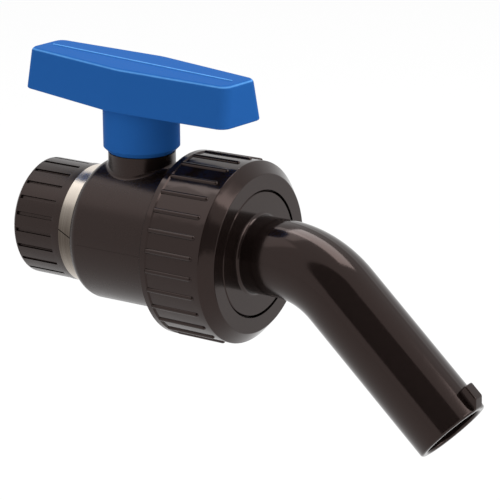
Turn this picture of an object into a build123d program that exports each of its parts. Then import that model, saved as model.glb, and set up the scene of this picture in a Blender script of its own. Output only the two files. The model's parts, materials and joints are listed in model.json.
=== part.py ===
from build123d import *
import math
import os

# Single-union ball valve with a bent pouring spout, in millimetres.
# The origin is the centre of the inlet mouth, +X runs with the flow and +Z points up the stem.

# Places along the flow axis
stem_x = 42.3
rib_start = 1.6
rib_end = 17.0
band_start = 20.5
band_end = 26.7
barrel_end = 63.9
thread_start = 65.9
body_end = 81.9

# Inlet socket and barrel
socket_radius = 20.9
socket_groove_depth = 0.8
socket_groove_width = 1.3
socket_groove_count = 22
flange_radius = 21.1
barrel_radius = 25.5
barrel_round = 4.0
inlet_thread_radius = 15.15
inlet_thread_depth = 18.0
flow_radius = 12.0
mouth_chamfer = 1.0
flange_step = 0.4
groove_corner = 0.3
thread_chamfer = 1.0
bore_cone = 2.0
chamber_cone = 1.0

# Steel band
band_thickness = 0.8
band_gap = 1.2
band_gap_slant = 30
band_gap_height = -6.0
band_seat_depth = 0.7

# Ball, seats and seal carrier
ball_radius = 18.5
ball_clearance = 0.05
chamber_radius = 19.3
seat_outer_radius = 17.1
seat_front = 12.0
seat_back = 17.5
carrier_radius = 20.4
fit = 0.05
seal_section = 1.15
seal_groove_depth = 2.32
carrier_seal_gap = 10.0
carrier_slot_width = 5.0
carrier_slot_depth = 3.0
carrier_slot_reach = 2.2
carrier_lap = 1.5
carrier_gap = 0.5
carrier_chamfer = 0.6
seal_side_room = 0.4
seat_seal_offset = 0.4
spout_seal_radius = 16.6

# Stem and boss
boss_radius = 11.9
boss_top = 30.0
saddle_round = 1.6
stem_radius = 7.0
stem_collar_radius = 9.3
stem_collar_bottom = 18.9
stem_collar_top = 21.6
washer_thickness = 0.8
tongue_width = 7.0
tongue_length = 17.0
tongue_bottom = 14.6
square_size = 9.4
square_top = 45.0
square_chamfer = 0.6
square_room = 0.5
tongue_room = 0.2
stem_seal_section = 0.98
stem_seal_heights = (24.6, 27.9)
stem_seal_room = 0.3

# Handle
handle_turn = -7.5
hub_gap = 0.2
hub_top = 50.0
hub_radius = 13.5
hub_core_radius = 9.4
hub_chamfer = 1.8
wing_bottom = 47.1
wing_top = 61.7
wing_half_length_bottom = 47.6
wing_half_length_top = 46.7
wing_half_width_bottom = 10.2
wing_half_width_top = 8.2
wing_mid_width_bottom = 16.5
wing_mid_width_top = 12.3
wing_corner = 4.0
wing_mid_round = 25.0
wing_edge_round = 1.6
wing_foot_round = 0.5
wing_corner_share = 0.6
crest_length = 85.0
crest_width = 0.9
crest_end_round = 0.4
crest_height = 0.25
wing_wall = 2.6
wing_roof = 2.8
wing_rib = 2.0
wing_rib_recess = 2.0
wing_rib_lap = 0.5
wing_rib_inset = 3.9
wing_rib_places = (20.0, 32.0)
stop_inner_radius = 8.2
stop_outer_radius = 10.8
stop_height = 2.6
stop_angle = 24.0
stop_margin = 1.0
stop_room = 0.3
quarter_turn = 90.0

# Union nut
nut_back = 63.0
nut_rim_width = 3.0
nut_rib_length = 19.0
nut_chamfer_start = 87.3
nut_face = 91.2
nut_back_radius = 32.5
nut_rim_step = 0.55
nut_rim_chamfer = 0.6
nut_rim_slope = 0.4
nut_taper = 0.4
nut_wall = 3.2
nut_chamfer_width = 4.1
nut_edge_round = 0.5
nut_bore = 22.5
nut_lip = 4.6
nut_rib_count = 28
nut_rib_radius = 0.95
nut_rib_sink = 0.25
nut_rib_lap = 0.2
nut_rib_start_angle = -3.2
nut_thread_room = 0.3

# Spout
spout_collar_room = 2.0
spout_hub_radius = 22.0
spout_recess = 0.2
spout_edge_round = 0.4
tube_radius = 13.6
tube_bore = 11.0
tube_root = 1.2
tube_corner_x = 114.7
tube_bend = 42.6
tube_bend_radius = 34.0
tube_reach = 73.7
lug_width = 4.8
lug_height = 3.6
lug_lip = 0.6
lug_lean = 0.3
lug_sink = 1.0
lug_base = 8.7
lug_slant = 2.8

# Derived places
hub_bottom = boss_top + hub_gap
nut_front_radius = nut_back_radius - nut_taper
nut_base_radius = nut_back_radius - nut_rim_step
nut_face_radius = nut_front_radius - nut_chamfer_width
spout_face = nut_face - spout_recess
nut_rim_end = nut_back + nut_rim_width
nut_rib_end = nut_rim_end + nut_rib_length
union_thread_radius = nut_front_radius - nut_wall - nut_thread_room
spout_collar_radius = union_thread_radius - spout_collar_room
carrier_start = stem_x + seat_front + carrier_lap
carrier_seal_x = carrier_start + carrier_seal_gap
inlet_seat_back = stem_x - seat_back
outlet_seat_back = stem_x + seat_back
seat_sphere = ball_radius + ball_clearance
seat_seal_radius = 0.5 * (flow_radius + seat_outer_radius) + seat_seal_offset
band_seat_radius = flange_radius - band_seat_depth
carrier_floor = outlet_seat_back
collar_front = nut_face - nut_lip - fit
turned = Plane(
    origin=(stem_x, 0, 0),
    x_dir=(math.cos(math.radians(handle_turn)), math.sin(math.radians(handle_turn)), 0),
    z_dir=(0, 0, 1),
)

os.makedirs("parts", exist_ok=True)


def finish(piece, name):
    """Label one finished piece and write it to its own file."""
    piece.part.label = name
    export_step(piece.part, f"parts/{name}.step")


def ring_profile(points):
    """Turn a closed section, given as distance along the flow and radius, about the flow axis."""
    with BuildSketch(Plane.XZ) as section:
        with BuildLine():
            Polyline(*points, close=True)
        make_face()
    revolve(section.sketch, axis=Axis.X)


def flow_seal(x, radius, section):
    """Round rubber ring about the flow axis."""
    with BuildSketch(Plane.XZ) as cord:
        with Locations((x, radius)):
            Circle(section)
    revolve(cord.sketch, axis=Axis.X)


def seat_ring(side):
    """Seat ring with a hollow spherical face against the ball, upstream (-1) or downstream (1)."""
    inner_offset = math.sqrt(seat_sphere**2 - flow_radius**2)
    front_radius = math.sqrt(seat_sphere**2 - seat_front**2)
    middle = math.radians(0.5 * (math.degrees(math.asin(flow_radius / seat_sphere))
                                 + math.degrees(math.asin(front_radius / seat_sphere))))

    def place(offset, radius):
        return (stem_x + side * offset, radius)

    with BuildSketch(Plane.XZ) as section:
        with BuildLine():
            Polyline(
                place(inner_offset, flow_radius),
                place(seat_back, flow_radius),
                place(seat_back, seat_outer_radius),
                place(seat_front, seat_outer_radius),
                place(seat_front, front_radius),
            )
            ThreePointArc(
                place(seat_front, front_radius),
                place(seat_sphere * math.cos(middle), seat_sphere * math.sin(middle)),
                place(inner_offset, flow_radius),
            )
        make_face()
    revolve(section.sketch, axis=Axis.X)


def wing_outline(height, half_length, end_width, mid_width):
    """Plan outline of the T-lever: widest over the stem, narrower at both rounded ends."""
    with BuildSketch(turned.offset(height)) as outline:
        with BuildLine():
            Polyline(
                (-half_length, -end_width),
                (0, -mid_width),
                (half_length, -end_width),
                (half_length, end_width),
                (0, mid_width),
                (-half_length, end_width),
                close=True,
            )
        make_face()
        middle = outline.vertices().group_by(Axis.X)[1]
        fillet(middle, radius=wing_mid_round)
        ends = outline.vertices().group_by(Axis.X)
        fillet(ends[0] + ends[-1], radius=min(wing_corner, wing_corner_share * end_width))
    return outline.sketch


# Valve body: ribbed socket, flange, band groove, barrel, boss and union thread in one moulding
with BuildPart() as valve_body:
    ring_profile([
        (0, 0),
        (0, socket_radius - mouth_chamfer),
        (mouth_chamfer, socket_radius),
        (rib_end, socket_radius),
        (rib_end + flange_step, flange_radius),
        (band_start, flange_radius),
        (band_start, band_seat_radius),
        (band_end, band_seat_radius),
        (band_end, barrel_radius),
        (barrel_end, barrel_radius),
        (thread_start, union_thread_radius),
        (body_end - thread_chamfer, union_thread_radius),
        (body_end, union_thread_radius - thread_chamfer),
        (body_end, 0),
    ])
    shoulder = valve_body.edges().filter_by(GeomType.CIRCLE).filter_by_position(Axis.X, band_end, band_end)
    fillet(shoulder.sort_by(SortBy.RADIUS)[-1], radius=barrel_round)
    with BuildSketch(Plane.XY):
        with Locations((stem_x, 0)):
            Circle(boss_radius)
    extrude(amount=boss_top)
    saddle = valve_body.edges().filter_by_position(Axis.Z, barrel_radius - boss_radius, barrel_radius)
    saddle = saddle.filter_by(GeomType.CIRCLE, reverse=True).filter_by(GeomType.LINE, reverse=True)
    fillet(saddle, radius=saddle_round)
    with BuildSketch(Plane.YZ.offset(rib_start)):
        with PolarLocations(socket_radius, socket_groove_count, start_angle=90 + 180 / socket_groove_count):
            RectangleRounded(2 * socket_groove_depth, socket_groove_width, groove_corner)
    extrude(amount=rib_end - rib_start, mode=Mode.SUBTRACT)
    with BuildSketch(Plane.XZ):
        with BuildLine():
            Polyline(
                (-1, 0),
                (-1, inlet_thread_radius),
                (inlet_thread_depth, inlet_thread_radius),
                (inlet_thread_depth + bore_cone, flow_radius),
                (inlet_seat_back, flow_radius),
                (inlet_seat_back, seat_outer_radius + fit),
                (stem_x - seat_front, seat_outer_radius + fit),
                (stem_x - seat_front + chamber_cone, chamber_radius),
                (carrier_start - carrier_gap, chamber_radius),
                (carrier_start - carrier_gap, carrier_radius + fit),
                (body_end + 1, carrier_radius + fit),
                (body_end + 1, 0),
                close=True,
            )
        make_face()
    revolve(axis=Axis.X, mode=Mode.SUBTRACT)
    with BuildSketch(Plane.XZ):
        with Locations((inlet_seat_back - seal_groove_depth / 2, seat_seal_radius)):
            Rectangle(seal_groove_depth, 2 * seal_section + fit)
    revolve(axis=Axis.X, mode=Mode.SUBTRACT)
    with BuildSketch(Plane.XY):
        with Locations((stem_x, 0)):
            Circle(stem_radius + fit)
    extrude(amount=boss_top + 1, mode=Mode.SUBTRACT)
    with BuildSketch(Plane.XY):
        with Locations((stem_x, 0)):
            Circle(stem_collar_radius + fit)
    extrude(amount=stem_collar_top + washer_thickness + fit, mode=Mode.SUBTRACT)
    with BuildSketch(Plane((stem_x, 0, boss_top))):
        with BuildLine():
            stop_rim = CenterArc((0, 0), stop_outer_radius, 90 - stop_angle / 2, stop_angle)
            stop_core = CenterArc((0, 0), stop_inner_radius, 90 - stop_angle / 2, stop_angle)
            Line(stop_rim @ 0, stop_core @ 0)
            Line(stop_rim @ 1, stop_core @ 1)
        make_face()
    extrude(amount=stop_height)
finish(valve_body, "valve_body")

# Reinforcing band: split steel ring in the groove between flange and barrel
with BuildPart() as reinforcing_band:
    ring_profile([
        (band_start + fit, band_seat_radius),
        (band_start + fit, band_seat_radius + band_thickness),
        (band_end - fit, band_seat_radius + band_thickness),
        (band_end - fit, band_seat_radius),
    ])
    with BuildSketch(Plane.XZ.offset(band_seat_radius / 2)):
        with Locations(((band_start + band_end) / 2, band_gap_height)):
            Rectangle(2 * (band_end - band_start), band_gap, rotation=90 - band_gap_slant)
    extrude(amount=band_seat_radius, mode=Mode.SUBTRACT)
finish(reinforcing_band, "reinforcing_band")

# Ball with its flow bore and the slot for the stem's tongue
with BuildPart() as ball:
    with Locations(turned.location):
        Sphere(ball_radius)
    with BuildSketch(Plane(turned.origin, x_dir=turned.y_dir, z_dir=turned.x_dir)):
        Circle(flow_radius)
    extrude(amount=ball_radius + 1, both=True, mode=Mode.SUBTRACT)
    with BuildSketch(turned.offset(tongue_bottom - tongue_room)):
        Rectangle(tongue_width + 2 * fit, 2 * ball_radius)
    extrude(amount=ball_radius, mode=Mode.SUBTRACT)
finish(ball, "ball")

# Seats and their backing seals
with BuildPart() as inlet_seat:
    seat_ring(-1)
finish(inlet_seat, "inlet_seat")

with BuildPart() as outlet_seat:
    seat_ring(1)
finish(outlet_seat, "outlet_seat")

with BuildPart() as inlet_seat_seal:
    flow_seal(inlet_seat_back - seal_section, seat_seal_radius, seal_section)
finish(inlet_seat_seal, "inlet_seat_seal")

with BuildPart() as outlet_seat_seal:
    flow_seal(outlet_seat_back + seal_section, seat_seal_radius, seal_section)
finish(outlet_seat_seal, "outlet_seat_seal")

# Seal carrier: screwed ring behind the outlet seat, with two slots for its key
with BuildPart() as seal_carrier:
    ring_profile([
        (carrier_start, seat_outer_radius + fit),
        (carrier_start, carrier_radius - carrier_chamfer),
        (carrier_start + carrier_chamfer, carrier_radius),
        (body_end, carrier_radius),
        (body_end, flow_radius),
        (carrier_floor, flow_radius),
        (carrier_floor, seat_outer_radius + fit),
    ])
    with BuildSketch(Plane.XZ):
        with Locations((carrier_floor + seal_groove_depth / 2, seat_seal_radius)):
            Rectangle(seal_groove_depth, 2 * seal_section + fit)
        with Locations((carrier_seal_x, carrier_radius - seal_section + fit / 2)):
            Rectangle(2 * seal_section + seal_side_room, 2 * seal_section + fit)
        with Locations((body_end - seal_groove_depth / 2, spout_seal_radius)):
            Rectangle(seal_groove_depth, 2 * seal_section + fit)
    revolve(axis=Axis.X, mode=Mode.SUBTRACT)
    with BuildSketch(Plane.YZ.offset(body_end)):
        Rectangle(carrier_slot_width, 2 * (flow_radius + carrier_slot_reach))
    extrude(amount=-carrier_slot_depth, mode=Mode.SUBTRACT)
finish(seal_carrier, "seal_carrier")

with BuildPart() as carrier_seal:
    flow_seal(carrier_seal_x, carrier_radius - seal_section + fit / 2, seal_section)
finish(carrier_seal, "carrier_seal")

with BuildPart() as spout_seal:
    flow_seal(body_end - seal_section, spout_seal_radius, seal_section)
finish(spout_seal, "spout_seal")

# Stem: tongue, blow-out collar, sealed shank and drive square
with BuildPart() as stem:
    with BuildSketch(turned.offset(stem_collar_bottom)):
        Circle(stem_collar_radius)
    extrude(amount=stem_collar_top - stem_collar_bottom)
    with BuildSketch(turned.offset(stem_collar_top)):
        Circle(stem_radius)
    extrude(amount=boss_top - stem_collar_top)
    with BuildSketch(turned.offset(boss_top)):
        Rectangle(square_size, square_size)
    extrude(amount=square_top - boss_top)
    chamfer(stem.faces().sort_by(Axis.Z)[-1].edges(), length=square_chamfer)
    with BuildSketch(turned.offset(tongue_bottom)):
        Rectangle(tongue_width, tongue_length)
    extrude(amount=stem_collar_bottom - tongue_bottom)
    with BuildSketch(Plane.XZ):
        with Locations(*[(stem_x + stem_radius, height) for height in stem_seal_heights]):
            Rectangle(4 * stem_seal_section - 2 * fit, 2 * stem_seal_section + stem_seal_room)
    revolve(axis=Axis((stem_x, 0, 0), (0, 0, 1)), mode=Mode.SUBTRACT)
finish(stem, "stem")

for seal_name, seal_height in zip(("stem_seal_lower", "stem_seal_upper"), stem_seal_heights):
    with BuildPart() as stem_seal:
        with BuildSketch(Plane.XZ):
            with Locations((stem_x + stem_radius + fit - stem_seal_section, seal_height)):
                Circle(stem_seal_section)
        revolve(axis=Axis((stem_x, 0, 0), (0, 0, 1)))
    finish(stem_seal, seal_name)

with BuildPart() as stem_washer:
    with BuildSketch(turned.offset(stem_collar_top)):
        Circle(stem_collar_radius)
        Circle(stem_radius + fit, mode=Mode.SUBTRACT)
    extrude(amount=washer_thickness)
finish(stem_washer, "stem_washer")

# Handle: hollow T-lever on a round hub, with a slot that stops it after a quarter turn
with BuildPart() as handle:
    foot = wing_outline(wing_bottom, wing_half_length_bottom, wing_half_width_bottom, wing_mid_width_bottom)
    crest = wing_outline(wing_top, wing_half_length_top, wing_half_width_top, wing_mid_width_top)
    loft([foot.face(), crest.face()])
    fillet(handle.faces().sort_by(Axis.Z)[-1].edges(), radius=wing_edge_round)
    fillet(handle.faces().sort_by(Axis.Z)[0].edges(), radius=wing_foot_round)
    with BuildSketch(turned.offset(wing_top)):
        RectangleRounded(crest_length, crest_width, crest_end_round)
    extrude(amount=crest_height)
    hollow_foot = wing_outline(
        wing_bottom,
        wing_half_length_bottom - wing_wall,
        wing_half_width_bottom - wing_wall,
        wing_mid_width_bottom - wing_wall,
    )
    hollow_crest = wing_outline(
        wing_top - wing_roof,
        wing_half_length_top - wing_wall,
        wing_half_width_top - wing_wall,
        wing_mid_width_top - wing_wall,
    )
    loft([hollow_foot.face(), hollow_crest.face()], mode=Mode.SUBTRACT)
    with BuildSketch(turned.offset(hub_bottom)):
        Circle(hub_radius)
    extrude(amount=hub_top - hub_bottom)
    with BuildSketch(turned.offset(wing_bottom)):
        Circle(hub_core_radius)
    extrude(amount=wing_top - wing_roof - wing_bottom)
    for place in wing_rib_places:
        for side in (-1, 1):
            with BuildSketch(turned.offset(wing_bottom + wing_rib_recess)):
                with Locations((side * place, 0)):
                    Rectangle(wing_rib, 2 * wing_half_width_bottom - wing_rib_inset)
            extrude(amount=wing_top - wing_roof - wing_bottom - wing_rib_recess + wing_rib_lap)
    rim = handle.faces().sort_by(Axis.Z)[0].edges()
    chamfer(rim, length=hub_chamfer)
    with BuildSketch(turned.offset(hub_bottom)):
        Rectangle(square_size + 2 * fit, square_size + 2 * fit)
    extrude(amount=square_top + square_room - hub_bottom, mode=Mode.SUBTRACT)
    slot_start = 90 - stop_angle / 2 - stop_margin
    slot_sweep = quarter_turn + stop_angle + 2 * stop_margin
    with BuildSketch(turned.offset(hub_bottom)):
        with BuildLine():
            slot_rim = CenterArc((0, 0), stop_outer_radius + stop_room, slot_start, slot_sweep)
            slot_core = CenterArc((0, 0), stop_inner_radius - stop_room, slot_start, slot_sweep)
            Line(slot_rim @ 0, slot_core @ 0)
            Line(slot_rim @ 1, slot_core @ 1)
        make_face()
    extrude(amount=stop_height + stop_room, mode=Mode.SUBTRACT)
finish(handle, "handle")

# Union nut: ribbed grip, wide front chamfer and an inner lip that clamps the spout's collar
with BuildPart() as union_nut:
    ring_profile([
        (nut_back, union_thread_radius + nut_thread_room),
        (nut_back, nut_back_radius - nut_rim_chamfer),
        (nut_back + nut_rim_chamfer, nut_back_radius),
        (nut_rim_end - nut_rim_slope, nut_back_radius),
        (nut_rim_end, nut_base_radius),
        (nut_rib_end, nut_front_radius),
        (nut_chamfer_start, nut_front_radius),
        (nut_face, nut_face_radius),
        (nut_face, nut_bore),
        (nut_face - nut_lip, nut_bore),
        (nut_face - nut_lip, union_thread_radius + nut_thread_room),
    ])
    for place in (nut_chamfer_start, nut_face):
        rings = union_nut.edges().filter_by(GeomType.CIRCLE).filter_by_position(Axis.X, place, place)
        fillet(rings.sort_by(SortBy.RADIUS)[-1], radius=nut_edge_round)
    rib_slope = math.atan2(nut_base_radius - nut_front_radius, nut_rib_end - nut_rim_end)
    for index in range(nut_rib_count):
        turn = math.radians(nut_rib_start_angle) + 2 * math.pi * index / nut_rib_count
        outward = Vector(0, math.sin(turn), math.cos(turn))
        along = Vector(math.cos(rib_slope), 0, 0) - outward * math.sin(rib_slope)
        root = Vector(nut_rim_end - nut_rib_lap, 0, 0) + outward * (nut_base_radius - nut_rib_sink)
        with BuildSketch(Plane(root, z_dir=along)):
            Circle(nut_rib_radius)
        extrude(amount=nut_rib_length - nut_rib_radius)
        with Locations(root + along * (nut_rib_length - nut_rib_radius)):
            Sphere(nut_rib_radius)
finish(union_nut, "union_nut")

# Spout: stepped collar inside the nut, bent tube and a lug at the outlet
with BuildPart() as spout:
    ring_profile([
        (body_end + fit, 0),
        (body_end + fit, spout_collar_radius),
        (collar_front, spout_collar_radius),
        (collar_front, spout_hub_radius),
        (spout_face, spout_hub_radius),
        (spout_face, tube_radius + tube_root),
        (spout_face + tube_root, tube_radius),
        (spout_face + tube_root, 0),
    ])
    brim = spout.edges().filter_by(GeomType.CIRCLE).filter_by_position(Axis.X, spout_face, spout_face)
    fillet(brim.sort_by(SortBy.RADIUS)[-1], radius=spout_edge_round)
    with BuildLine(Plane.XZ):
        spout_path = FilletPolyline(
            (body_end - 1, 0),
            (tube_corner_x, 0),
            (
                tube_corner_x + tube_reach * math.cos(math.radians(tube_bend)),
                -tube_reach * math.sin(math.radians(tube_bend)),
            ),
            radius=tube_bend_radius,
        )
    with BuildSketch(Plane(spout_path @ 0, z_dir=spout_path % 0)):
        Circle(tube_radius)
    sweep(path=spout_path)
    split(bisect_by=Plane.YZ.offset(body_end + fit), keep=Keep.TOP)
    outlet = Plane(
        spout_path @ 1,
        x_dir=spout_path % 1,
        z_dir=(0, -1, 0),
    )
    with BuildSketch(outlet):
        with BuildLine():
            Polyline(
                (0, tube_radius - lug_sink),
                (0, tube_radius + lug_lip),
                (-lug_slant, tube_radius + lug_height),
                (-lug_base + lug_lean, tube_radius + lug_height),
                (-lug_base, tube_radius - lug_sink),
                close=True,
            )
        make_face()
    extrude(amount=lug_width / 2, both=True)
    with BuildSketch(Plane(spout_path @ 0, z_dir=spout_path % 0)):
        Circle(tube_bore)
    sweep(path=spout_path, mode=Mode.SUBTRACT)
finish(spout, "spout")
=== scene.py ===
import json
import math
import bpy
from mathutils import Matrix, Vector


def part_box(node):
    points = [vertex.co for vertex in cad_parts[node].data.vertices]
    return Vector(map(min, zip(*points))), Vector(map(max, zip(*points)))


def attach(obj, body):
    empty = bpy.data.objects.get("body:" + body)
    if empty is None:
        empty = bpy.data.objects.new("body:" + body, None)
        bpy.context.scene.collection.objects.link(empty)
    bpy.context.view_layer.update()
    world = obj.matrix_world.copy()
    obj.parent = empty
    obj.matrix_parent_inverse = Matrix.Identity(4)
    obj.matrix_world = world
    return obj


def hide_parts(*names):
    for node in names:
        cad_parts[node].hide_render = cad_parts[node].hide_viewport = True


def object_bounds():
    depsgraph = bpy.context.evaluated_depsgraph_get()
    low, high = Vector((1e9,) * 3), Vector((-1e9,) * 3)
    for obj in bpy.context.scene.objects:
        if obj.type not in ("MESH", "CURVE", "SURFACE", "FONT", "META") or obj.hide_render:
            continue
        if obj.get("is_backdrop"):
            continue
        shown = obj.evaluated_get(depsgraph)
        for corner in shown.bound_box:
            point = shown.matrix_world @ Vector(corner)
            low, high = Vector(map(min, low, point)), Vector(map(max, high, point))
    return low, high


bl_info = {
    "name": "Nozzle valve",
    "version": (1, 0, 0),
    "blender": (4, 5, 0),
    "location": "3D View > Sidebar > Nozzle valve",
    "description": "Dresses the packed nozzle valve and sets up its studio",
    "category": "Object",
}

import bmesh
import bpy
from bpy.props import FloatProperty, FloatVectorProperty, IntProperty, PointerProperty
from mathutils import Matrix, Vector

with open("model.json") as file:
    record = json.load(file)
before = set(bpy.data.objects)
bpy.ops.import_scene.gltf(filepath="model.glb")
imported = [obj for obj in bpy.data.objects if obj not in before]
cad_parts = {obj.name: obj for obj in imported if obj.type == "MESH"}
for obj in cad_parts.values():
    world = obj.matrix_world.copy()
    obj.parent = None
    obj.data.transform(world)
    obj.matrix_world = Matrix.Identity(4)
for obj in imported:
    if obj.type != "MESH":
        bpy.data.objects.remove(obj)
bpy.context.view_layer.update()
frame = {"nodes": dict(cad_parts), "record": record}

MM = 0.001
FLOW = Vector((1, 0, 0))
UP = Vector((0, 0, 1))
ACROSS = Vector((0, 1, 1))

# Distances below which mesh points count as the same
JOIN = 0.001 * MM
WELD = 0.002 * MM
LEVEL = 0.01 * MM
TOUCH = 0.02 * MM
SKIN = 0.05 * MM

# Shading of the meshes
CREASE = math.radians(30)
SHARP_TURN = 0.5
EDGE_STEPS = 4
LUG_STEPS = 3

# Camera: width of its back, reach of its view, and the point on the flow axis that it is placed from
SENSOR_WIDTH = 36
CLIP_END = 20
VIEW_POINT = Vector((43.4 * MM, 0, 0))


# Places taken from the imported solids
def middle_of(node):
    """Middle of a solid's box."""
    low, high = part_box(node)
    return (low + high) / 2


STEM_X = middle_of("stem").x


def mount(name):
    """A mount of the record."""
    for entry in frame["record"]["mounts"]:
        if entry["name"] == name:
            return entry
    raise KeyError(name)


INLET_RADIUS = mount("inlet_thread")["dims"]["r_mm"] * MM
INLET_DEPTH = mount("inlet_thread")["dims"]["length_mm"] * MM
SPOUT_AXIS = Vector(mount("spout_outlet")["axis"]).normalized()
SPOUT_BEND = math.atan2(-SPOUT_AXIS.z, SPOUT_AXIS.x)
OUTLET = Vector(mount("spout_outlet")["pos_m"])
SPOUT_CORNER = OUTLET.x - OUTLET.z / SPOUT_AXIS.z * SPOUT_AXIS.x

# Front of the nut, and how far the spout's collar stands behind it, in millimetres
NUT_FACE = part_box("union_nut")[1].x / MM
SPOUT_RECESS = 0.2
COLLAR_SETBACK = 4.65


# Settings that a user would change
def length(name, description, millimetres):
    """A length property whose default is given in millimetres."""
    return FloatProperty(
        name=name, description=description, default=millimetres * MM, unit="LENGTH", precision=5
    )


def colour(name, description, default):
    """A linear colour property."""
    return FloatVectorProperty(
        name=name, description=description, default=default, subtype="COLOR", size=3, min=0, max=1
    )


def angle(name, description, degrees):
    """An angle property whose default is given in degrees."""
    return FloatProperty(name=name, description=description, default=math.radians(degrees), subtype="ANGLE")


def share(name, description, default):
    """A property between 0 and 1."""
    return FloatProperty(name=name, description=description, default=default, min=0, max=1, precision=3)


def count(name, description, default):
    """A number of mesh steps."""
    return IntProperty(name=name, description=description, default=default, min=1)


def power(name, description, watts):
    """A lamp's power."""
    return FloatProperty(name=name, description=description, default=watts, unit="POWER")


def place(name, description, metres):
    """A lamp's place from the middle of the inlet."""
    return FloatVectorProperty(
        name=name, description=description, default=metres, subtype="TRANSLATION", size=3
    )


def panel(name, description, metres):
    """Width and depth of a lamp."""
    return FloatVectorProperty(name=name, description=description, default=metres, unit="LENGTH", size=2)


class ValveFinishes(bpy.types.PropertyGroup):
    """Colours and gloss of the valve's plastics and metal."""

    black: colour("Black plastic", "Moulded body, nut and spout", (0.007, 0.0045, 0.004))
    black_shine: colour("Black shine", "Tint of the black plastic's reflections", (1.0, 0.74, 0.68))
    blue: colour("Blue plastic", "Moulded handle", (0.018, 0.106, 0.36))
    # Painted highlight: lighter blue along the handle's upper edges and ridge
    blue_edge_highlight: colour("Blue edge", "Painted highlight on the handle's upper edges", (0.12, 0.36, 0.78))
    blue_shine: colour("Blue shine", "Tint of the handle's reflections", (0.35, 0.7, 1.0))
    steel: colour("Steel", "Darker tone of the polished band", (0.045, 0.032, 0.024))
    # Lighter tone of the band's fine lines and of its painted reflection
    steel_light_and_reflection: colour("Light steel", "Lighter tone of the polished band", (0.8, 0.72, 0.63))
    white: colour("White plastic", "Ball and seats", (0.80, 0.80, 0.78))
    rubber: colour("Rubber", "Seals", (0.02, 0.02, 0.02))
    black_gloss: share("Black gloss", "Strength of the black plastic's reflections", 0.38)
    body_roughness: share("Body roughness", "Roughness of the moulded body", 0.27)
    nut_roughness: share("Nut roughness", "Roughness of the union nut", 0.13)
    spout_roughness: share("Spout roughness", "Roughness of the spout", 0.12)
    blue_gloss: share("Blue gloss", "Strength of the handle's reflections", 0.003)
    blue_roughness: share("Blue roughness", "Roughness of the handle", 0.3)
    steel_roughness: share("Steel roughness", "Least roughness of the polished band", 0.14)
    seat_roughness: share("Seat roughness", "Roughness of the ball and seats", 0.4)
    seal_roughness: share("Seal roughness", "Roughness of the seals", 0.6)


class ValveSizes(bpy.types.PropertyGroup):
    """Fine forms of the body, band and handle."""

    thread_pitch: length("Thread pitch", "Inlet thread pitch", 2.309)
    thread_depth: length("Thread depth", "Depth of the thread below its crest", 1.2)
    thread_lead: length("Thread lead", "Length over which the thread starts", 1.2)
    thread_flank: FloatProperty(
        name="Thread flank", description="Steepness of the thread's flanks", default=2.6
    )
    thread_end: length("Thread end", "Length over which the thread runs out", 2.4)
    thread_rows: count("Thread rows", "Mesh rows along the thread", 110)
    barrel_radius: length("Barrel radius", "Outside of the barrel", 25.5)
    crest_round: length("Crest round", "Rounding of the ridge on the lever", 0.2)
    band_thickness: length("Band thickness", "Thickness of the steel band", 0.75)
    band_rows: count("Band rows", "Mesh rows across the band", 6)
    band_steps: count("Band steps", "Mesh steps round the band", 144)
    band_gap: angle("Band gap", "Angle of the band's split", 1.0)
    band_seam: angle("Band seam", "Slant of the split across the band", 8.0)
    seam_start: length("Seam start", "Inlet end of the barrel's mould seam", 31)
    seam_end: length("Seam end", "Union end of the barrel's mould seam", 63)
    seam_width: length("Seam width", "Width of the mould seam", 0.3)
    seam_height: length("Seam height", "Height of the mould seam", 0.08)


class ValveSpout(bpy.types.PropertyGroup):
    """Sizes of the bent spout."""

    face: length("Face", "Front of the collar along the flow axis", NUT_FACE - SPOUT_RECESS)
    collar_front: length("Collar front", "Front of the clamped collar", NUT_FACE - COLLAR_SETBACK)
    collar_radius: length("Collar radius", "Clamped collar behind the nut's lip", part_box("spout")[1].y / MM)
    hub_radius: length("Hub radius", "Collar inside the nut's lip", 22.0)
    hub_round: length("Hub round", "Rounding of the collar's front edge", 0.4)
    root_round: length("Root round", "Rounding where the tube leaves the collar", 1.2)
    tube_radius: length("Tube radius", "Outside of the tube", 13.6)
    bore: length("Bore", "Inside of the tube", mount("spout_outlet")["dims"]["r_mm"])
    bend_radius: length("Bend radius", "Centre line of the bend", 34)
    reach: length("Reach", "Outlet from the corner of the centre line", 73.7)
    seam_height: length("Seam height", "Height of the mould seam", 0.1)
    lip_round: length("Lip round", "Rounding of the outlet's edges", 0.9)
    lug_width: length("Lug width", "Width of the lug", 4.8)
    lug_height: length("Lug height", "Height of the lug over the tube", 3.6)
    lug_base: length("Lug base", "Length of the lug", 8.5)
    lug_slant: length("Lug slant", "How far the lug's front slants back", 2.8)
    lug_round: length("Lug round", "Rounding of the lug's edges", 0.6)
    lug_front: length("Lug front", "Height of the lug's front edge over the tube", 0.6)
    lug_sink: length("Lug sink", "How far the lug reaches into the tube's wall", 1)
    steps: count("Steps", "Mesh steps round the tube", 160)
    bend_steps: count("Bend steps", "Mesh steps along the bend", 28)
    round_steps: count("Round steps", "Mesh steps of the root's rounding", 6)


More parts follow.
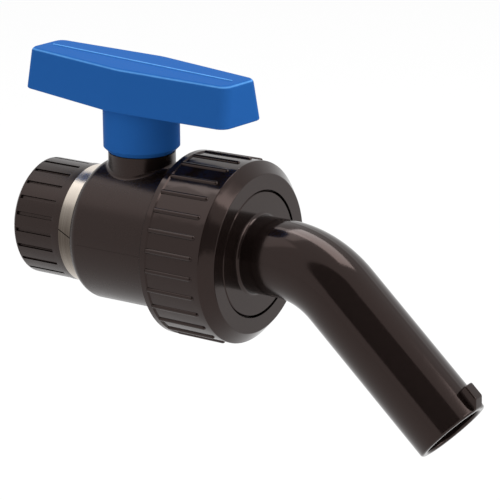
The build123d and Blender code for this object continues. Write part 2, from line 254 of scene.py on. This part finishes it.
class ValveStudio(bpy.types.PropertyGroup):
    """Camera and light of the studio."""

    azimuth: angle("Azimuth", "Camera direction round the stem", 33.6)
    elevation: angle("Elevation", "Camera height angle", 17.4)
    roll: angle("Roll", "Camera turn about its own line of sight", -0.5)
    distance: length("Distance", "Camera distance from the flow axis", 1060)
    right: length("Right", "Sideways place of the view's middle", 36.7)
    rise: length("Rise", "Height of the view's middle from the flow axis", -6.2)
    lens: FloatProperty(name="Lens", description="Focal length in millimetres", default=216.0)
    floor_drop: length("Floor drop", "Floor below the spout's lowest point", 60)
    floor_size: length("Floor size", "Side of the floor", 6000)
    floor_tone: colour("Floor", "Colour of the floor", (0.9, 0.9, 0.9))
    floor_roughness: share("Floor roughness", "Roughness of the floor and the card", 0.9)
    floor_glow: share("Floor glow", "Share of plain white in the floor as it is seen", 0.85)
    card_tone: colour("Card", "Colour of the dark card", (0.18, 0.17, 0.17))
    card_size: length("Card size", "Width of the dark card behind the camera", 1600)
    card_lift: angle("Card lift", "Angle of the card above the camera", 8)
    card_distance: length("Card distance", "Distance of the dark card from the valve", 1200)
    card_sides: count("Card sides", "Mesh steps round the dark card", 48)
    sky: share("Sky", "Strength of the white surroundings", 0.7)
    key_power: power("Key light", "Power of the overhead light", 0.7)
    key_place: place("Key place", "Place of the overhead light", (-0.22, 0.1, 0.75))
    key_size: panel("Key size", "Size of the overhead light", (0.4, 0.4))
    fill_power: power("Fill light", "Power of the upper left light", 0.8)
    fill_place: place("Fill place", "Place of the upper left light", (-0.45, -0.3, 0.75))
    fill_size: panel("Fill size", "Size of the upper left light", (0.6, 0.6))
    right_power: power("Right light", "Power of the light at the right", 2.6)
    right_place: place("Right place", "Place of the light at the right", (0.9, 0.2, 0.52))
    right_size: panel("Right size", "Size of the light at the right", (0.5, 0.5))
    box_power: power("Soft box", "Power of the soft box above the spout", 4.8)
    box_place: place("Box place", "Place of the soft box", (0.12, 0.36, 0.86))
    box_size: panel("Box size", "Size of the soft box", (0.8, 0.42))


# Shader maths
class Wire:
    """A shader value that can stand in a Python sum."""

    def __init__(self, wiring, socket):
        self.wiring = wiring
        self.socket = socket

    def combine(self, operation, first, second):
        """A Math node on two values or wires."""
        node = self.wiring.node("ShaderNodeMath", {"operation": operation}, {0: first, 1: second})
        return Wire(self.wiring, node.outputs[0])

    def __add__(self, other):
        return self.combine("ADD", self, other)

    __radd__ = __add__

    def __sub__(self, other):
        return self.combine("SUBTRACT", self, other)

    def __rsub__(self, other):
        return self.combine("SUBTRACT", other, self)

    def __mul__(self, other):
        return self.combine("MULTIPLY", self, other)

    __rmul__ = __mul__

    def above(self, edge):
        """1 over an edge value and 0 under it."""
        return self.combine("GREATER_THAN", self, edge)

    def size(self):
        """The value without its sign."""
        return self.combine("ABSOLUTE", self, 0.0)

    def larger(self, other):
        """The larger of two values."""
        return self.combine("MAXIMUM", self, other)

    def near(self, middle, reach):
        """1 at a middle value, falling to 0 at a reach on either side."""
        return (1 - (self - middle).size() * (1 / reach)).larger(0.0)


class Wiring:
    """A node tree and the short ways to add to it."""

    def __init__(self, tree):
        self.tree = tree

    def seen_plainly(self):
        """1 where the camera, a reflection or a view through glass meets the surface."""
        path = self.node("ShaderNodeLightPath", {}, {})
        kinds = ("Is Camera Ray", "Is Glossy Ray", "Is Transmission Ray")
        camera, glossy, through = (Wire(self, path.outputs[kind]) for kind in kinds)
        return camera + glossy + through

    def blend(self, share, first, second, output):
        """Mix two shaders into an output."""
        mix = self.node("ShaderNodeMixShader", {}, {"Fac": share})
        self.tree.links.new(first.outputs[0], mix.inputs[1])
        self.tree.links.new(second.outputs[0], mix.inputs[2])
        self.tree.links.new(mix.outputs[0], self.tree.nodes[output].inputs["Surface"])

    def node(self, kind, settings, inputs):
        """Add one node: settings first, then its sockets' values or links."""
        made = self.tree.nodes.new(kind)
        for key, value in settings.items():
            setattr(made, key, value)
        for key, value in inputs.items():
            if isinstance(value, Wire):
                self.tree.links.new(value.socket, made.inputs[key])
            else:
                made.inputs[key].default_value = value
        return made


class Finish(Wiring):
    """A material with one Principled shader and the nodes that feed it."""

    def __init__(self, name, base, roughness, fixed=None):
        self.material = bpy.data.materials.new(name)
        self.material.use_nodes = True
        super().__init__(self.material.node_tree)
        self.shader = self.tree.nodes["Principled BSDF"]
        self.shader.inputs["Base Color"].default_value = (*base, 1)
        self.shader.inputs["Roughness"].default_value = roughness
        for socket, value in (fixed or {}).items():
            self.shader.inputs[socket].default_value = value

    def place(self, stretch):
        """Object coordinates, stretched along each axis."""
        coordinates = self.node("ShaderNodeTexCoord", {}, {})
        mapping = self.node(
            "ShaderNodeMapping",
            {},
            {"Vector": Wire(self, coordinates.outputs["Object"]), "Scale": stretch},
        )
        return Wire(self, mapping.outputs["Vector"])

    def part(self, kind, output, axis):
        """One axis of a place or a direction."""
        source = self.node(kind, {}, {})
        split = self.node("ShaderNodeSeparateXYZ", {}, {"Vector": Wire(self, source.outputs[output])})
        return Wire(self, split.outputs[axis])

    def noise(self, scale, detail=2.0, stretch=(1, 1, 1)):
        """Soft random pattern between 0 and 1."""
        made = self.node(
            "ShaderNodeTexNoise", {}, {"Vector": self.place(stretch), "Scale": scale, "Detail": detail}
        )
        return Wire(self, made.outputs["Fac"])

    def tint(self, share, first, second):
        """Colour between two, by a value from 0 to 1."""
        sockets = {0: share, 6: (*first, 1), 7: (*second, 1)}
        made = self.node("ShaderNodeMix", {"data_type": "RGBA"}, sockets)
        return Wire(self, made.outputs[2])

    def feed(self, socket, wire):
        """Link a wire to a socket of the shader."""
        self.tree.links.new(wire.socket, self.shader.inputs[socket])

    def bump(self, height, strength, depth):
        """Raise the surface a little by a pattern."""
        made = self.node("ShaderNodeBump", {}, {"Height": height, "Strength": strength, "Distance": depth})
        self.feed("Normal", Wire(self, made.outputs["Normal"]))


# Patterns of the finishes
PATCH_SCALE = 90
PATCH_DETAIL = 3.0
PATCH_SPREAD = 0.1
GRAIN_STRENGTH = 0.1
GRAIN_DEPTH = 0.04 * MM
BLACK_GRAIN = 2600
BLUE_GRAIN = 2200

# Painted highlights along the lever's upper edges and ridge: lean of their surface, drop from the ridge's
# top, and unevenness
EDGE_LEAN = 0.72
EDGE_REACH = 0.22
EDGE_DROP = 2 * MM
RIDGE_DROP = 0.2 * MM
HIGHLIGHT_SCALE = 300
HIGHLIGHT_SPREAD = 0.6
HIGHLIGHT_LEAST = 0.5

# Rolling lines of the steel
LINE_SCALE = 40
LINE_DETAIL = 4.0
LINE_STRETCH = (60, 1, 1)
LINE_TONE = 0.14
LINE_ROUGHNESS = 0.2
LINE_STRENGTH = 0.1
LINE_DEPTH = 0.03 * MM
# Painted reflection: how much lighter the band is painted towards its top and bottom
REFLECTION_TONE = 0.95


def moulded_plastic(name, base, shine, gloss, roughness, grain):
    """Injection-moulded plastic: a little uneven gloss and a fine skin."""
    finish = Finish(name, base, roughness, {"Specular Tint": (*shine, 1), "Specular IOR Level": gloss})
    patches = finish.noise(PATCH_SCALE, PATCH_DETAIL)
    finish.feed("Roughness", patches * PATCH_SPREAD + (roughness - PATCH_SPREAD / 2))
    finish.bump(finish.noise(grain), GRAIN_STRENGTH, GRAIN_DEPTH)
    return finish


def paint_edge_highlights(finish, base, edge, top):
    """Paint highlights on the lever: paler along its rounded upper edges and its ridge, where lamp light
    catches them.
    """
    upright = finish.part("ShaderNodeNewGeometry", "Normal", "Z")
    height = finish.part("ShaderNodeTexCoord", "Object", "Z")
    edges = upright.near(EDGE_LEAN, EDGE_REACH) * height.above(top - EDGE_DROP)
    ridge = height.above(top - RIDGE_DROP)
    strength = finish.noise(HIGHLIGHT_SCALE, PATCH_DETAIL) * HIGHLIGHT_SPREAD + HIGHLIGHT_LEAST
    finish.feed("Base Color", finish.tint(edges.larger(ridge) * strength, base, edge))


def polished_steel(name, dark, light, roughness, radius):
    """Rolled steel strip with fine lines round the band, and a painted reflection: darker at half height,
    lighter towards the top and bottom.
    """
    finish = Finish(name, dark, roughness, {"Metallic": 1.0})
    lines = finish.noise(LINE_SCALE, LINE_DETAIL, stretch=LINE_STRETCH)
    # Painted reflection: lighter towards the band's top and bottom, darker at half height
    rise = finish.part("ShaderNodeTexCoord", "Object", "Z").size() * (1 / radius)
    finish.feed("Base Color", finish.tint(lines * LINE_TONE + rise * rise * REFLECTION_TONE, dark, light))
    finish.feed("Roughness", lines * LINE_ROUGHNESS + roughness)
    finish.bump(lines, LINE_STRENGTH, LINE_DEPTH)


# Mesh helpers
def wear(obj, material):
    """Give an object one material."""
    obj.data.materials.clear()
    obj.data.materials.append(material)


def slot_of(node):
    """Material slot that the record gives a solid."""
    for entry in frame["record"]["subparts"]:
        if entry["node"] == node:
            return entry["material_slot"]
    raise KeyError(node)


def merged_solid(node):
    """A bmesh copy of a solid with its loose triangles joined."""
    bm = bmesh.new()
    bm.from_mesh(frame["nodes"][node].data)
    bmesh.ops.remove_doubles(bm, verts=bm.verts, dist=JOIN)
    return bm


def leaves_axis(face):
    """True where a face points away from the flow axis."""
    return face.normal.dot(face.calc_center_median() * ACROSS) > 0


def round_edges(bm, edges, radius, steps):
    """Bevel edges into an even rounding."""
    bmesh.ops.bevel(
        bm, geom=edges, offset=radius, offset_type="OFFSET", segments=steps, profile=0.5, affect="EDGES",
        material=-1,
    )


def even_shading(piece):
    """Keep flat faces flat beside their rounded edges, and store the result in the mesh."""
    weights = piece.modifiers.new("even_shading", "WEIGHTED_NORMAL")
    weights.keep_sharp = True
    graph = bpy.context.evaluated_depsgraph_get()
    rough_mesh = piece.data
    even_mesh = bpy.data.meshes.new_from_object(piece.evaluated_get(graph))
    piece.modifiers.clear()
    piece.data = even_mesh
    bpy.data.meshes.remove(rough_mesh)
    even_mesh.name = piece.name


def publish(bm, name, body, node, material, turn_normals=True):
    """Turn a bmesh into a smooth piece that stands for a solid and rides on its body."""
    if turn_normals:
        bmesh.ops.remove_doubles(bm, verts=bm.verts, dist=WELD)
        bmesh.ops.recalc_face_normals(bm, faces=bm.faces)
    mesh = bpy.data.meshes.new(name)
    bm.to_mesh(mesh)
    bm.free()
    if "custom_normal" in mesh.attributes:
        mesh.attributes.remove(mesh.attributes["custom_normal"])
    piece = bpy.data.objects.new(name, mesh)
    bpy.context.scene.collection.objects.link(piece)
    mesh.shade_smooth()
    mesh.set_sharp_from_angle(angle=CREASE)
    even_shading(piece)
    wear(piece, bpy.data.materials[material])
    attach(piece, body)
    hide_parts(node)


# Pieces
class VALVE_OT_finishes(bpy.types.Operator):
    """Make the valve's materials"""

    bl_idname = "valve.finishes"
    bl_label = "Finishes"

    def execute(self, context):
        tones = context.scene.valve_finishes
        blacks = {
            "satin_black": tones.body_roughness,
            "ribbed_black": tones.nut_roughness,
            "gloss_black": tones.spout_roughness,
        }
        for name, roughness in blacks.items():
            moulded_plastic(name, tones.black, tones.black_shine, tones.black_gloss, roughness, BLACK_GRAIN)
        lever = moulded_plastic(
            "lever_blue", tones.blue, tones.blue_shine, tones.blue_gloss, tones.blue_roughness, BLUE_GRAIN
        )
        # Painted highlight along the handle's upper edges and ridge
        paint_edge_highlights(lever, tones.blue, tones.blue_edge_highlight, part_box("handle")[1].z)
        band_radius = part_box("reinforcing_band")[1].z
        polished_steel("steel_strip", tones.steel, tones.steel_light_and_reflection, tones.steel_roughness, band_radius)
        Finish("seat_white", tones.white, tones.seat_roughness)
        Finish("seal_rubber", tones.rubber, tones.seal_roughness)
        return {"FINISHED"}


class VALVE_OT_body(bpy.types.Operator):
    """Dress the moulded body: threaded inlet, barrel and its mould seam"""

    bl_idname = "valve.body"
    bl_label = "Body"

    def execute(self, context):
        sizes = context.scene.valve_sizes
        bm = merged_solid("valve_body")
        wall = [face for face in bm.faces if self.on_inlet_wall(face)]
        bmesh.ops.delete(bm, geom=wall, context="FACES")
        self.cut_thread(bm, sizes)
        self.raise_seam(bm, sizes)
        publish(bm, "body_moulding", "body", "valve_body", "satin_black", turn_normals=False)
        return {"FINISHED"}

    def on_inlet_wall(self, face):
        """True on the plain wall that the thread takes the place of."""
        return all(
            abs(vertex.co.yz.length - INLET_RADIUS) < TOUCH and vertex.co.x < INLET_DEPTH + TOUCH
            for vertex in face.verts
        )

    def cut_thread(self, bm, sizes):
        """Roll a grid into the inlet wall, with a right-hand thread cut outwards into it."""
        rims = [edge for edge in bm.edges if edge.is_boundary]
        rim_corners = list({vertex for edge in rims for vertex in edge.verts})
        steps = len(rims) // 2
        grid = bmesh.ops.create_grid(bm, x_segments=sizes.thread_rows, y_segments=steps, size=0.5)
        for vertex in grid["verts"]:
            along = (vertex.co.x + 0.5) * INLET_DEPTH
            turn = vertex.co.y * math.tau
            phase = (along / sizes.thread_pitch + turn / math.tau) % 1.0
            tooth = max(0.0, 1.0 - abs(sizes.thread_flank * (phase - 0.5)))
            fade = min(1.0, along / sizes.thread_lead, (INLET_DEPTH - along) / sizes.thread_end)
            radius = INLET_RADIUS + sizes.thread_depth * tooth * fade
            vertex.co = (along, radius * math.sin(turn), radius * math.cos(turn))
        faces = list({face for vertex in grid["verts"] for face in vertex.link_faces})
        bmesh.ops.remove_doubles(bm, verts=grid["verts"] + rim_corners, dist=TOUCH)
        if any(edge.is_boundary for edge in bm.edges):
            raise RuntimeError("the thread doesn't close the inlet wall")
        bm.normal_update()
        outward = [face for face in faces if leaves_axis(face)]
        if len(outward) > len(faces) / 2:
            bmesh.ops.reverse_faces(bm, faces=faces)

    def raise_seam(self, bm, sizes):
        """A fine mould seam along both sides of the barrel."""
        size = (sizes.seam_end - sizes.seam_start, sizes.seam_height * 2, sizes.seam_width)
        for side in (-1, 1):
            made = bmesh.ops.create_cube(bm, size=1)
            bmesh.ops.scale(bm, verts=made["verts"], vec=size)
            middle = ((sizes.seam_start + sizes.seam_end) / 2, side * sizes.barrel_radius, 0)
            bmesh.ops.translate(bm, verts=made["verts"], vec=middle)


class VALVE_OT_band(bpy.types.Operator):
    """Dress the split steel band"""

    bl_idname = "valve.band"
    bl_label = "Steel band"

    def execute(self, context):
        sizes = context.scene.valve_sizes
        low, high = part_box("reinforcing_band")
        bm = bmesh.new()
        strip = bmesh.ops.create_grid(bm, x_segments=sizes.band_rows, y_segments=sizes.band_steps, size=0.5)
        for vertex in strip["verts"]:
            across = vertex.co.x + 0.5
            around = vertex.co.y + 0.5
            seam = sizes.band_seam * (1 - across)
            angle = seam + sizes.band_gap / 2 + around * (math.tau - sizes.band_gap)
            vertex.co = (
                low.x + across * (high.x - low.x),
                -high.z * math.cos(angle),
                high.z * math.sin(angle),
            )
        bmesh.ops.recalc_face_normals(bm, faces=bm.faces)
        if not leaves_axis(bm.faces[:][0]):
            bmesh.ops.reverse_faces(bm, faces=bm.faces)
        bmesh.ops.solidify(bm, geom=bm.faces[:], thickness=sizes.band_thickness)
        publish(bm, "steel_band", "body", "reinforcing_band", "steel_strip")
        return {"FINISHED"}


class VALVE_OT_handle(bpy.types.Operator):
    """Dress the T-lever"""

    bl_idname = "valve.handle"
    bl_label = "Handle"

    def execute(self, context):
        sizes = context.scene.valve_sizes
        bm = merged_solid("handle")
        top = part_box("handle")[1].z
        crest = [edge for edge in bm.edges if self.on_crest(edge, top)]
        round_edges(bm, crest, sizes.crest_round, EDGE_STEPS)
        publish(bm, "lever", "quarter_turn", "handle", "lever_blue", turn_normals=False)
        return {"FINISHED"}

    def on_crest(self, edge, top):
        """True on the sharp upper edges of the ridge along the lever."""
        at_top = all(abs(vertex.co.z - top) < LEVEL for vertex in edge.verts)
        return at_top and len(edge.link_faces) == 2 and edge.calc_face_angle() > SHARP_TURN


class VALVE_OT_nut(bpy.types.Operator):
    """Dress the ribbed union nut"""

    bl_idname = "valve.nut"
    bl_label = "Union nut"

    def execute(self, context):
        bm = merged_solid("union_nut")
        publish(bm, "ribbed_nut", "nut", "union_nut", "ribbed_black", turn_normals=False)
        return {"FINISHED"}


class VALVE_OT_spout(bpy.types.Operator):
    """Model the bent spout with its collar, mould seam and lug"""

    bl_idname = "valve.spout"
    bl_label = "Spout"

    def execute(self, context):
        sizes = context.scene.valve_spout
        bm = bmesh.new()
        outer, inner = self.turn_collar(bm, sizes)
        outer = self.push_along(bm, outer, sizes)
        inner = self.push_along(bm, inner, sizes)
        bmesh.ops.bridge_loops(bm, edges=outer + inner)
        round_edges(bm, outer + inner, sizes.lip_round, EDGE_STEPS)
        bmesh.ops.remove_doubles(bm, verts=bm.verts, dist=WELD)
        bmesh.ops.recalc_face_normals(bm, faces=bm.faces)
        self.raise_seam(bm, sizes)
        self.add_lug(bm, sizes)
        publish(bm, "pouring_spout", "spout", "spout", "gloss_black")
        return {"FINISHED"}

    def turn_collar(self, bm, sizes):
        """Spin the collar's section about the flow axis; its open rings start the tube and its bore."""
        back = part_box("spout")[0].x
        root = sizes.root_round
        section = [
            (sizes.face + root, sizes.bore),
            (back, sizes.bore),
            (back, sizes.collar_radius),
            (sizes.collar_front, sizes.collar_radius),
            (sizes.collar_front, sizes.hub_radius),
            (sizes.face - sizes.hub_round, sizes.hub_radius),
            (sizes.face, sizes.hub_radius - sizes.hub_round),
        ]
        for step in range(sizes.round_steps + 1):
            angle = math.pi / 2 * step / sizes.round_steps
            section.append((
                sizes.face + root * (1 - math.cos(angle)),
                sizes.tube_radius + root * (1 - math.sin(angle)),
            ))
        chain = [bm.verts.new((x, 0, radius)) for x, radius in section]
        edges = [bm.edges.new(pair) for pair in zip(chain, chain[1:])]
        bmesh.ops.spin(
            bm, geom=chain + edges, cent=(0, 0, 0), axis=FLOW, angle=math.tau, steps=sizes.steps,
            use_merge=True,
        )
        bmesh.ops.remove_doubles(bm, verts=bm.verts, dist=WELD)
        open_edges = [edge for edge in bm.edges if edge.is_boundary]
        middle = (sizes.tube_radius + sizes.bore) / 2
        outer = [edge for edge in open_edges if edge.verts[0].co.yz.length > middle]
        inner = [edge for edge in open_edges if edge.verts[0].co.yz.length < middle]
        return outer, inner

    def push_along(self, bm, ring, sizes):
        """Carry an open ring down the straight, round the bend and on to the outlet."""
        tangent = sizes.bend_radius * math.tan(SPOUT_BEND / 2)
        ring = self.push(bm, ring, FLOW * (SPOUT_CORNER - tangent - ring[0].verts[0].co.x))
        spun = bmesh.ops.spin(
            bm,
            geom=ring + list({vertex for edge in ring for vertex in edge.verts}),
            cent=(SPOUT_CORNER - tangent, 0, -sizes.bend_radius),
            axis=(0, 1, 0),
            angle=SPOUT_BEND,
            steps=sizes.bend_steps,
        )
        ring = [item for item in spun["geom_last"] if isinstance(item, bmesh.types.BMEdge)]
        return self.push(bm, ring, SPOUT_AXIS * (sizes.reach - tangent))

    def push(self, bm, ring, offset):
        """Extrude an open ring by an offset and give the new ring."""
        made = bmesh.ops.extrude_edge_only(bm, edges=ring)["geom"]
        bmesh.ops.translate(
            bm, verts=[item for item in made if isinstance(item, bmesh.types.BMVert)], vec=offset
        )
        return [item for item in made if isinstance(item, bmesh.types.BMEdge) and item.is_boundary]

    def raise_seam(self, bm, sizes):
        """Lift the line of the mould's parting plane along the outside of the tube."""
        bm.normal_update()
        lifted = {}
        for vertex in bm.verts:
            outside = abs(vertex.co.y) < LEVEL and vertex.co.x > sizes.face + sizes.root_round
            if outside and self.off_axis(vertex.co, sizes) > sizes.tube_radius - SKIN:
                lifted[vertex] = vertex.co + vertex.normal * sizes.seam_height
        for vertex, place in lifted.items():
            vertex.co = place

    def off_axis(self, point, sizes):
        """Distance of a point from the tube's bent centre line."""
        tangent = sizes.bend_radius * math.tan(SPOUT_BEND / 2)
        start = Vector((SPOUT_CORNER - tangent, 0, 0))
        centre = start - UP * sizes.bend_radius
        if point.x < start.x:
            return point.yz.length
        angle = math.atan2(point.x - centre.x, point.z - centre.z)
        if angle < SPOUT_BEND:
            return abs(math.hypot(point.x - centre.x, point.z - centre.z) - sizes.bend_radius)
        from_corner = point - FLOW * SPOUT_CORNER
        return (from_corner - SPOUT_AXIS * from_corner.dot(SPOUT_AXIS)).length

    def add_lug(self, bm, sizes):
        """Small lug on the outside of the bend's plane, flush with the outlet."""
        outward = Vector((-SPOUT_AXIS.z, 0, SPOUT_AXIS.x))
        end = FLOW * SPOUT_CORNER + SPOUT_AXIS * sizes.reach
        outline = [
            (0, -sizes.lug_sink),
            (0, sizes.lug_front),
            (-sizes.lug_slant, sizes.lug_height),
            (-sizes.lug_base, sizes.lug_height),
            (-sizes.lug_base, -sizes.lug_sink),
        ]
        near_side = Vector((0, -sizes.lug_width / 2, 0))
        corners = []
        for along, height in outline:
            on_axis = end + SPOUT_AXIS * along
            corners.append(bm.verts.new(on_axis + outward * (sizes.tube_radius + height) + near_side))
        side = bm.faces.new(corners)
        made = bmesh.ops.extrude_face_region(bm, geom=[side])["geom"]
        far = [item for item in made if isinstance(item, bmesh.types.BMVert)]
        bmesh.ops.translate(bm, verts=far, vec=(0, sizes.lug_width, 0))
        faces = {face for vertex in corners + far for face in vertex.link_faces}
        bmesh.ops.recalc_face_normals(bm, faces=list(faces))
        edges = list({edge for face in faces for edge in face.edges})
        round_edges(bm, edges, sizes.lug_round, LUG_STEPS)


class VALVE_OT_inner(bpy.types.Operator):
    """Give the sealed inner solids their finishes"""

    bl_idname = "valve.inner"
    bl_label = "Inner pieces"

    def execute(self, context):
        looks = {
            "black_plastic": "satin_black",
            "white_plastic": "seat_white",
            "rubber_seal": "seal_rubber",
        }
        dressed = ("valve_body", "reinforcing_band", "handle", "union_nut", "spout")
        for name, node in frame["nodes"].items():
            if name not in dressed:
                wear(node, bpy.data.materials[looks[slot_of(name)]])
        return {"FINISHED"}


class VALVE_OT_stage(bpy.types.Operator):
    """Set up the floor, the light and the camera"""

    bl_idname = "valve.stage"
    bl_label = "Stage"

    def execute(self, context):
        studio = context.scene.valve_studio
        lowest = Vector(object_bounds()[0]).z
        self.white_world(context.scene, studio)
        self.floor(studio, lowest - studio.floor_drop)
        self.lamp("key_light", studio.key_place, studio.key_size, studio.key_power)
        self.lamp("fill_light", studio.fill_place, studio.fill_size, studio.fill_power)
        self.lamp("right_light", studio.right_place, studio.right_size, studio.right_power)
        self.lamp("soft_box", studio.box_place, studio.box_size, studio.box_power)
        self.camera(context.scene, studio)
        context.scene.view_settings.view_transform = "Standard"
        return {"FINISHED"}

    def white_world(self, scene, studio):
        """White all round for the eye and for reflections, and a calmer light on the object."""
        world = bpy.data.worlds.new("white_room")
        world.use_nodes = True
        scene.world = world
        wiring = Wiring(world.node_tree)
        white = (1, 1, 1, 1)
        lit = wiring.node("ShaderNodeBackground", {}, {"Color": white, "Strength": studio.sky})
        seen = wiring.node("ShaderNodeBackground", {}, {"Color": white, "Strength": 1.0})
        wiring.blend(wiring.seen_plainly(), lit, seen, "World Output")

    def floor(self, studio, height):
        """Pale floor that is nearly white to the eye and keeps a soft shadow."""
        bm = bmesh.new()
        bmesh.ops.create_grid(bm, x_segments=1, y_segments=1, size=studio.floor_size / 2)
        bmesh.ops.translate(bm, verts=bm.verts, vec=(0, 0, height))
        finish = Finish("pale_floor", studio.floor_tone, studio.floor_roughness)
        glow = finish.node("ShaderNodeEmission", {}, {"Strength": 1.0})
        finish.blend(finish.seen_plainly() * studio.floor_glow, finish.shader, glow, "Material Output")
        floor = self.stand(bm, "floor", finish.material)
        floor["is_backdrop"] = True

    def stand(self, bm, name, material):
        """Put a sheet of the stage in the scene."""
        mesh = bpy.data.meshes.new(name)
        bm.to_mesh(mesh)
        bm.free()
        sheet = bpy.data.objects.new(name, mesh)
        bpy.context.scene.collection.objects.link(sheet)
        wear(sheet, material)
        return sheet

    def lamp(self, name, place, size, power):
        """A square or oblong lamp aimed at the foot of the stem."""
        light = bpy.data.lights.new(name, "AREA")
        light.shape = "RECTANGLE"
        light.size, light.size_y = size
        light.energy = power
        lamp = bpy.data.objects.new(name, light)
        bpy.context.scene.collection.objects.link(lamp)
        aim = FLOW * STEM_X - place
        lamp.matrix_world = Matrix.Translation(place) @ aim.to_track_quat("-Z", "Y").to_matrix().to_4x4()

    def camera(self, scene, studio):
        """The photograph's view, and the card behind it."""
        data = bpy.data.cameras.new("photograph_view")
        data.sensor_width = SENSOR_WIDTH
        data.lens = studio.lens
        data.clip_end = CLIP_END
        camera = bpy.data.objects.new("photograph_view", data)
        scene.collection.objects.link(camera)
        back = Vector((
            math.sin(studio.azimuth) * math.cos(studio.elevation),
            -math.cos(studio.azimuth) * math.cos(studio.elevation),
            math.sin(studio.elevation),
        ))
        flat_right = Vector((math.cos(studio.azimuth), math.sin(studio.azimuth), 0))
        flat_up = back.cross(flat_right)
        right = flat_right * math.cos(studio.roll) + flat_up * math.sin(studio.roll)
        up = back.cross(right)
        place = VIEW_POINT + right * studio.right + up * studio.rise + back * studio.distance
        turn = Matrix((right, up, back)).transposed().to_4x4()
        camera.matrix_world = Matrix.Translation(place) @ turn
        scene.camera = camera
        self.dark_card(back * math.cos(studio.card_lift) + up * math.sin(studio.card_lift), studio)

    def dark_card(self, toward, studio):
        """A dark card behind the camera, met only by reflections, so that the gloss has some depth."""
        bm = bmesh.new()
        bmesh.ops.create_circle(bm, cap_ends=True, segments=studio.card_sides, radius=studio.card_size / 2)
        turn = toward.to_track_quat("Z", "Y").to_matrix().to_4x4()
        centre = VIEW_POINT + toward * studio.card_distance
        bmesh.ops.transform(bm, matrix=Matrix.Translation(centre) @ turn, verts=bm.verts)
        finish = Finish("card_black", studio.card_tone, studio.floor_roughness)
        card = self.stand(bm, "dark_card", finish.material)
        card.visible_camera = False
        card.visible_diffuse = False
        card.visible_shadow = False
        card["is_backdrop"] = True


class VALVE_PT_panel(bpy.types.Panel):
    """Lists a button for each of the valve's steps"""

    bl_label = "Nozzle valve"
    bl_idname = "VALVE_PT_panel"
    bl_space_type = "VIEW_3D"
    bl_region_type = "UI"
    bl_category = "Nozzle valve"

    def draw(self, context):
        for step in STEPS:
            self.layout.operator(step.bl_idname)


STEPS = (
    VALVE_OT_finishes,
    VALVE_OT_body,
    VALVE_OT_band,
    VALVE_OT_handle,
    VALVE_OT_nut,
    VALVE_OT_spout,
    VALVE_OT_inner,
    VALVE_OT_stage,
)
GROUPS = {
    "valve_finishes": ValveFinishes,
    "valve_sizes": ValveSizes,
    "valve_spout": ValveSpout,
    "valve_studio": ValveStudio,
}
CLASSES = (*GROUPS.values(), *STEPS, VALVE_PT_panel)


def register():
    for item in CLASSES:
        bpy.utils.register_class(item)
    for name, group in GROUPS.items():
        setattr(bpy.types.Scene, name, PointerProperty(type=group))


def unregister():
    for name in GROUPS:
        delattr(bpy.types.Scene, name)
    for item in reversed(CLASSES):
        bpy.utils.unregister_class(item)


def main():
    register()
    for step in STEPS:
        family, action = step.bl_idname.split(".")
        getattr(getattr(bpy.ops, family), action)()


if __name__ == "__main__":
    main()
